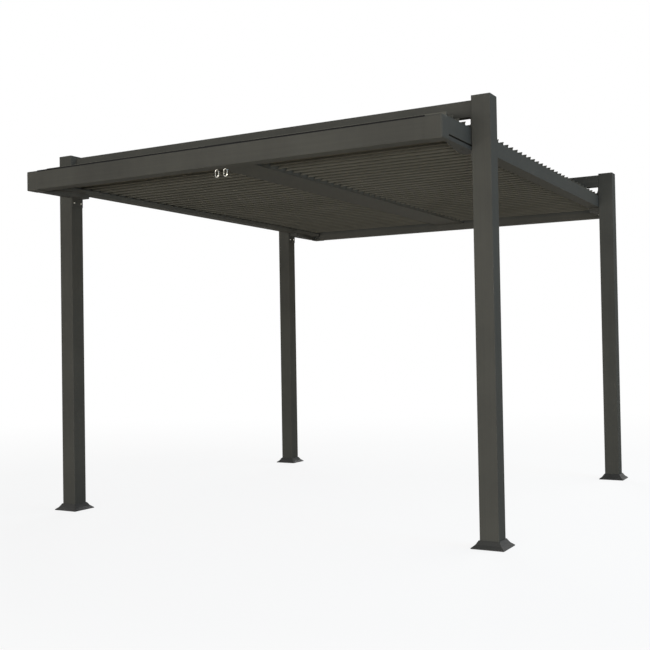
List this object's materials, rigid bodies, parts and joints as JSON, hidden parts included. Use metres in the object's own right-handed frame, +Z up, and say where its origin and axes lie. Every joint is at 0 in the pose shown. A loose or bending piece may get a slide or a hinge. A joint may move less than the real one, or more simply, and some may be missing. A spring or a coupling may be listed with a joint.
{
  "type": "louvred pergola",
  "caption": "Free-standing louvred pergola: square posts with foot covers, high crossbeams and a hung roof frame of turning blades.",
  "frame": {"origin": "on the ground at the middle of the four posts", "axes": "+X along the front and back beams to the right, +Y from the front (the side with the cranks) to the back, +Z up"},
  "size_m": [3.352, 3.96, 2.55],
  "materials": {
    "frame_coating": "satin anthracite powder coat",
    "louvre_coating": "satin anthracite powder coat",
    "bracket_coating": "satin anthracite powder coat",
    "galvanised_steel": "dull galvanised",
    "black_plastic": "matt",
    "bright_steel": "bright zinc plated"
  },
  "bodies": {
    "frame": {"post_front_left": "frame_coating", "post_front_right": "frame_coating", "post_back_left": "frame_coating", "post_back_right": "frame_coating", "post_caps": "frame_coating", "foot_covers": "frame_coating", "base_plates": "galvanised_steel", "crossbeam_front": "frame_coating", "crossbeam_back": "frame_coating", "fascia_front": "frame_coating", "fascia_back": "frame_coating", "side_beam_left": "frame_coating", "side_beam_right": "frame_coating", "centre_beam": "frame_coating", "corner_blocks": "frame_coating", "roof_brackets": "bracket_coating", "crank_gearboxes": "black_plastic", "bracket_screws": "bright_steel"},
    "crank_eye_left": {"crank_eye_left": "bright_steel"},
    "crank_eye_right": {"crank_eye_right": "bright_steel"},
    "louvre_row_01": {"louvre_row_01": "louvre_coating"},
    "louvre_row_02": {"louvre_row_02": "louvre_coating"},
    "louvre_row_03": {"louvre_row_03": "louvre_coating"},
    "louvre_row_04": {"louvre_row_04": "louvre_coating"},
    "louvre_row_05": {"louvre_row_05": "louvre_coating"},
    "louvre_row_06": {"louvre_row_06": "louvre_coating"},
    "louvre_row_07": {"louvre_row_07": "louvre_coating"},
    "louvre_row_08": {"louvre_row_08": "louvre_coating"},
    "louvre_row_09": {"louvre_row_09": "louvre_coating"},
    "louvre_row_10": {"louvre_row_10": "louvre_coating"},
    "louvre_row_11": {"louvre_row_11": "louvre_coating"},
    "louvre_row_12": {"louvre_row_12": "louvre_coating"},
    "louvre_row_13": {"louvre_row_13": "louvre_coating"},
    "louvre_row_14": {"louvre_row_14": "louvre_coating"},
    "louvre_row_15": {"louvre_row_15": "louvre_coating"},
    "louvre_row_16": {"louvre_row_16": "louvre_coating"},
    "louvre_row_17": {"louvre_row_17": "louvre_coating"},
    "louvre_row_18": {"louvre_row_18": "louvre_coating"},
    "louvre_row_19": {"louvre_row_19": "louvre_coating"},
    "louvre_row_20": {"louvre_row_20": "louvre_coating"},
    "louvre_row_21": {"louvre_row_21": "louvre_coating"},
    "louvre_row_22": {"louvre_row_22": "louvre_coating"},
    "louvre_row_23": {"louvre_row_23": "louvre_coating"},
    "louvre_row_24": {"louvre_row_24": "louvre_coating"},
    "louvre_row_25": {"louvre_row_25": "louvre_coating"},
    "louvre_row_26": {"louvre_row_26": "louvre_coating"},
    "louvre_row_27": {"louvre_row_27": "louvre_coating"},
    "louvre_row_28": {"louvre_row_28": "louvre_coating"},
    "louvre_row_29": {"louvre_row_29": "louvre_coating"},
    "louvre_row_30": {"louvre_row_30": "louvre_coating"},
    "louvre_row_31": {"louvre_row_31": "louvre_coating"},
    "louvre_row_32": {"louvre_row_32": "louvre_coating"},
    "louvre_row_33": {"louvre_row_33": "louvre_coating"},
    "louvre_row_34": {"louvre_row_34": "louvre_coating"},
    "louvre_row_35": {"louvre_row_35": "louvre_coating"},
    "louvre_row_36": {"louvre_row_36": "louvre_coating"},
    "louvre_row_37": {"louvre_row_37": "louvre_coating"},
    "louvre_row_38": {"louvre_row_38": "louvre_coating"},
    "louvre_row_39": {"louvre_row_39": "louvre_coating"},
    "louvre_row_40": {"louvre_row_40": "louvre_coating"}
  },
  "joints": [
    {"name": "louvre_turn_01", "type": "hinge", "parent": "frame", "child": "louvre_row_01", "pos_m": [0, -1.84275, 2.357], "axis": [-1, 0, 0], "range_deg": [-30, 60]},
    {"name": "louvre_turn_02", "type": "hinge", "parent": "frame", "child": "louvre_row_02", "pos_m": [0, -1.74825, 2.357], "axis": [-1, 0, 0], "range_deg": [-30, 60]},
    {"name": "louvre_turn_03", "type": "hinge", "parent": "frame", "child": "louvre_row_03", "pos_m": [0, -1.65375, 2.357], "axis": [-1, 0, 0], "range_deg": [-30, 60]},
    {"name": "louvre_turn_04", "type": "hinge", "parent": "frame", "child": "louvre_row_04", "pos_m": [0, -1.55925, 2.357], "axis": [-1, 0, 0], "range_deg": [-30, 60]},
    {"name": "louvre_turn_05", "type": "hinge", "parent": "frame", "child": "louvre_row_05", "pos_m": [0, -1.46475, 2.357], "axis": [-1, 0, 0], "range_deg": [-30, 60]},
    {"name": "louvre_turn_06", "type": "hinge", "parent": "frame", "child": "louvre_row_06", "pos_m": [0, -1.37025, 2.357], "axis": [-1, 0, 0], "range_deg": [-30, 60]},
    {"name": "louvre_turn_07", "type": "hinge", "parent": "frame", "child": "louvre_row_07", "pos_m": [0, -1.27575, 2.357], "axis": [-1, 0, 0], "range_deg": [-30, 60]},
    {"name": "louvre_turn_08", "type": "hinge", "parent": "frame", "child": "louvre_row_08", "pos_m": [0, -1.18125, 2.357], "axis": [-1, 0, 0], "range_deg": [-30, 60]},
    {"name": "louvre_turn_09", "type": "hinge", "parent": "frame", "child": "louvre_row_09", "pos_m": [0, -1.08675, 2.357], "axis": [-1, 0, 0], "range_deg": [-30, 60]},
    {"name": "louvre_turn_10", "type": "hinge", "parent": "frame", "child": "louvre_row_10", "pos_m": [0, -0.99225, 2.357], "axis": [-1, 0, 0], "range_deg": [-30, 60]},
    {"name": "louvre_turn_11", "type": "hinge", "parent": "frame", "child": "louvre_row_11", "pos_m": [0, -0.89775, 2.357], "axis": [-1, 0, 0], "range_deg": [-30, 60]},
    {"name": "louvre_turn_12", "type": "hinge", "parent": "frame", "child": "louvre_row_12", "pos_m": [0, -0.80325, 2.357], "axis": [-1, 0, 0], "range_deg": [-30, 60]},
    {"name": "louvre_turn_13", "type": "hinge", "parent": "frame", "child": "louvre_row_13", "pos_m": [0, -0.70875, 2.357], "axis": [-1, 0, 0], "range_deg": [-30, 60]},
    {"name": "louvre_turn_14", "type": "hinge", "parent": "frame", "child": "louvre_row_14", "pos_m": [0, -0.61425, 2.357], "axis": [-1, 0, 0], "range_deg": [-30, 60]},
    {"name": "louvre_turn_15", "type": "hinge", "parent": "frame", "child": "louvre_row_15", "pos_m": [0, -0.51975, 2.357], "axis": [-1, 0, 0], "range_deg": [-30, 60]},
    {"name": "louvre_turn_16", "type": "hinge", "parent": "frame", "child": "louvre_row_16", "pos_m": [0, -0.42525, 2.357], "axis": [-1, 0, 0], "range_deg": [-30, 60]},
    {"name": "louvre_turn_17", "type": "hinge", "parent": "frame", "child": "louvre_row_17", "pos_m": [0, -0.33075, 2.357], "axis": [-1, 0, 0], "range_deg": [-30, 60]},
    {"name": "louvre_turn_18", "type": "hinge", "parent": "frame", "child": "louvre_row_18", "pos_m": [0, -0.23625, 2.357], "axis": [-1, 0, 0], "range_deg": [-30, 60]},
    {"name": "louvre_turn_19", "type": "hinge", "parent": "frame", "child": "louvre_row_19", "pos_m": [0, -0.14175, 2.357], "axis": [-1, 0, 0], "range_deg": [-30, 60]},
    {"name": "louvre_turn_20", "type": "hinge", "parent": "frame", "child": "louvre_row_20", "pos_m": [0, -0.04725, 2.357], "axis": [-1, 0, 0], "range_deg": [-30, 60]},
    {"name": "louvre_turn_21", "type": "hinge", "parent": "frame", "child": "louvre_row_21", "pos_m": [0, 0.04725, 2.357], "axis": [-1, 0, 0], "range_deg": [-30, 60]},
    {"name": "louvre_turn_22", "type": "hinge", "parent": "frame", "child": "louvre_row_22", "pos_m": [0, 0.14175, 2.357], "axis": [-1, 0, 0], "range_deg": [-30, 60]},
    {"name": "louvre_turn_23", "type": "hinge", "parent": "frame", "child": "louvre_row_23", "pos_m": [0, 0.23625, 2.357], "axis": [-1, 0, 0], "range_deg": [-30, 60]},
    {"name": "louvre_turn_24", "type": "hinge", "parent": "frame", "child": "louvre_row_24", "pos_m": [0, 0.33075, 2.357], "axis": [-1, 0, 0], "range_deg": [-30, 60]},
    {"name": "louvre_turn_25", "type": "hinge", "parent": "frame", "child": "louvre_row_25", "pos_m": [0, 0.42525, 2.357], "axis": [-1, 0, 0], "range_deg": [-30, 60]},
    {"name": "louvre_turn_26", "type": "hinge", "parent": "frame", "child": "louvre_row_26", "pos_m": [0, 0.51975, 2.357], "axis": [-1, 0, 0], "range_deg": [-30, 60]},
    {"name": "louvre_turn_27", "type": "hinge", "parent": "frame", "child": "louvre_row_27", "pos_m": [0, 0.61425, 2.357], "axis": [-1, 0, 0], "range_deg": [-30, 60]},
    {"name": "louvre_turn_28", "type": "hinge", "parent": "frame", "child": "louvre_row_28", "pos_m": [0, 0.70875, 2.357], "axis": [-1, 0, 0], "range_deg": [-30, 60]},
    {"name": "louvre_turn_29", "type": "hinge", "parent": "frame", "child": "louvre_row_29", "pos_m": [0, 0.80325, 2.357], "axis": [-1, 0, 0], "range_deg": [-30, 60]},
    {"name": "louvre_turn_30", "type": "hinge", "parent": "frame", "child": "louvre_row_30", "pos_m": [0, 0.89775, 2.357], "axis": [-1, 0, 0], "range_deg": [-30, 60]},
    {"name": "louvre_turn_31", "type": "hinge", "parent": "frame", "child": "louvre_row_31", "pos_m": [0, 0.99225, 2.357], "axis": [-1, 0, 0], "range_deg": [-30, 60]},
    {"name": "louvre_turn_32", "type": "hinge", "parent": "frame", "child": "louvre_row_32", "pos_m": [0, 1.08675, 2.357], "axis": [-1, 0, 0], "range_deg": [-30, 60]},
    {"name": "louvre_turn_33", "type": "hinge", "parent": "frame", "child": "louvre_row_33", "pos_m": [0, 1.18125, 2.357], "axis": [-1, 0, 0], "range_deg": [-30, 60]},
    {"name": "louvre_turn_34", "type": "hinge", "parent": "frame", "child": "louvre_row_34", "pos_m": [0, 1.27575, 2.357], "axis": [-1, 0, 0], "range_deg": [-30, 60]},
    {"name": "louvre_turn_35", "type": "hinge", "parent": "frame", "child": "louvre_row_35", "pos_m": [0, 1.37025, 2.357], "axis": [-1, 0, 0], "range_deg": [-30, 60]},
    {"name": "louvre_turn_36", "type": "hinge", "parent": "frame", "child": "louvre_row_36", "pos_m": [0, 1.46475, 2.357], "axis": [-1, 0, 0], "range_deg": [-30, 60]},
    {"name": "louvre_turn_37", "type": "hinge", "parent": "frame", "child": "louvre_row_37", "pos_m": [0, 1.55925, 2.357], "axis": [-1, 0, 0], "range_deg": [-30, 60]},
    {"name": "louvre_turn_38", "type": "hinge", "parent": "frame", "child": "louvre_row_38", "pos_m": [0, 1.65375, 2.357], "axis": [-1, 0, 0], "range_deg": [-30, 60]},
    {"name": "louvre_turn_39", "type": "hinge", "parent": "frame", "child": "louvre_row_39", "pos_m": [0, 1.74825, 2.357], "axis": [-1, 0, 0], "range_deg": [-30, 60]},
    {"name": "louvre_turn_40", "type": "hinge", "parent": "frame", "child": "louvre_row_40", "pos_m": [0, 1.84275, 2.357], "axis": [-1, 0, 0], "range_deg": [-30, 60]},
    {"name": "crank_turn_left", "type": "hinge", "parent": "frame", "child": "crank_eye_left", "pos_m": [-0.032, -1.84275, 2.225], "axis": [0, 0, -1], "range_deg": [-600, 1200]},
    {"name": "crank_turn_right", "type": "hinge", "parent": "frame", "child": "crank_eye_right", "pos_m": [0.032, -1.84275, 2.225], "axis": [0, 0, -1], "range_deg": [-600, 1200]}
  ],
  "couplings": [
    {"joint": "louvre_turn_02", "follows": "louvre_turn_01", "ratio": 1},
    {"joint": "louvre_turn_03", "follows": "louvre_turn_01", "ratio": 1},
    {"joint": "louvre_turn_04", "follows": "louvre_turn_01", "ratio": 1},
    {"joint": "louvre_turn_05", "follows": "louvre_turn_01", "ratio": 1},
    {"joint": "louvre_turn_06", "follows": "louvre_turn_01", "ratio": 1},
    {"joint": "louvre_turn_07", "follows": "louvre_turn_01", "ratio": 1},
    {"joint": "louvre_turn_08", "follows": "louvre_turn_01", "ratio": 1},
    {"joint": "louvre_turn_09", "follows": "louvre_turn_01", "ratio": 1},
    {"joint": "louvre_turn_10", "follows": "louvre_turn_01", "ratio": 1},
    {"joint": "louvre_turn_11", "follows": "louvre_turn_01", "ratio": 1},
    {"joint": "louvre_turn_12", "follows": "louvre_turn_01", "ratio": 1},
    {"joint": "louvre_turn_13", "follows": "louvre_turn_01", "ratio": 1},
    {"joint": "louvre_turn_14", "follows": "louvre_turn_01", "ratio": 1},
    {"joint": "louvre_turn_15", "follows": "louvre_turn_01", "ratio": 1},
    {"joint": "louvre_turn_16", "follows": "louvre_turn_01", "ratio": 1},
    {"joint": "louvre_turn_17", "follows": "louvre_turn_01", "ratio": 1},
    {"joint": "louvre_turn_18", "follows": "louvre_turn_01", "ratio": 1},
    {"joint": "louvre_turn_19", "follows": "louvre_turn_01", "ratio": 1},
    {"joint": "louvre_turn_20", "follows": "louvre_turn_01", "ratio": 1},
    {"joint": "louvre_turn_21", "follows": "louvre_turn_01", "ratio": 1},
    {"joint": "louvre_turn_22", "follows": "louvre_turn_01", "ratio": 1},
    {"joint": "louvre_turn_23", "follows": "louvre_turn_01", "ratio": 1},
    {"joint": "louvre_turn_24", "follows": "louvre_turn_01", "ratio": 1},
    {"joint": "louvre_turn_25", "follows": "louvre_turn_01", "ratio": 1},
    {"joint": "louvre_turn_26", "follows": "louvre_turn_01", "ratio": 1},
    {"joint": "louvre_turn_27", "follows": "louvre_turn_01", "ratio": 1},
    {"joint": "louvre_turn_28", "follows": "louvre_turn_01", "ratio": 1},
    {"joint": "louvre_turn_29", "follows": "louvre_turn_01", "ratio": 1},
    {"joint": "louvre_turn_30", "follows": "louvre_turn_01", "ratio": 1},
    {"joint": "louvre_turn_31", "follows": "louvre_turn_01", "ratio": 1},
    {"joint": "louvre_turn_32", "follows": "louvre_turn_01", "ratio": 1},
    {"joint": "louvre_turn_33", "follows": "louvre_turn_01", "ratio": 1},
    {"joint": "louvre_turn_34", "follows": "louvre_turn_01", "ratio": 1},
    {"joint": "louvre_turn_35", "follows": "louvre_turn_01", "ratio": 1},
    {"joint": "louvre_turn_36", "follows": "louvre_turn_01", "ratio": 1},
    {"joint": "louvre_turn_37", "follows": "louvre_turn_01", "ratio": 1},
    {"joint": "louvre_turn_38", "follows": "louvre_turn_01", "ratio": 1},
    {"joint": "louvre_turn_39", "follows": "louvre_turn_01", "ratio": 1},
    {"joint": "louvre_turn_40", "follows": "louvre_turn_01", "ratio": 1},
    {"joint": "crank_turn_left", "follows": "louvre_turn_01", "ratio": 20},
    {"joint": "crank_turn_right", "follows": "louvre_turn_01", "ratio": 20}
  ]
}
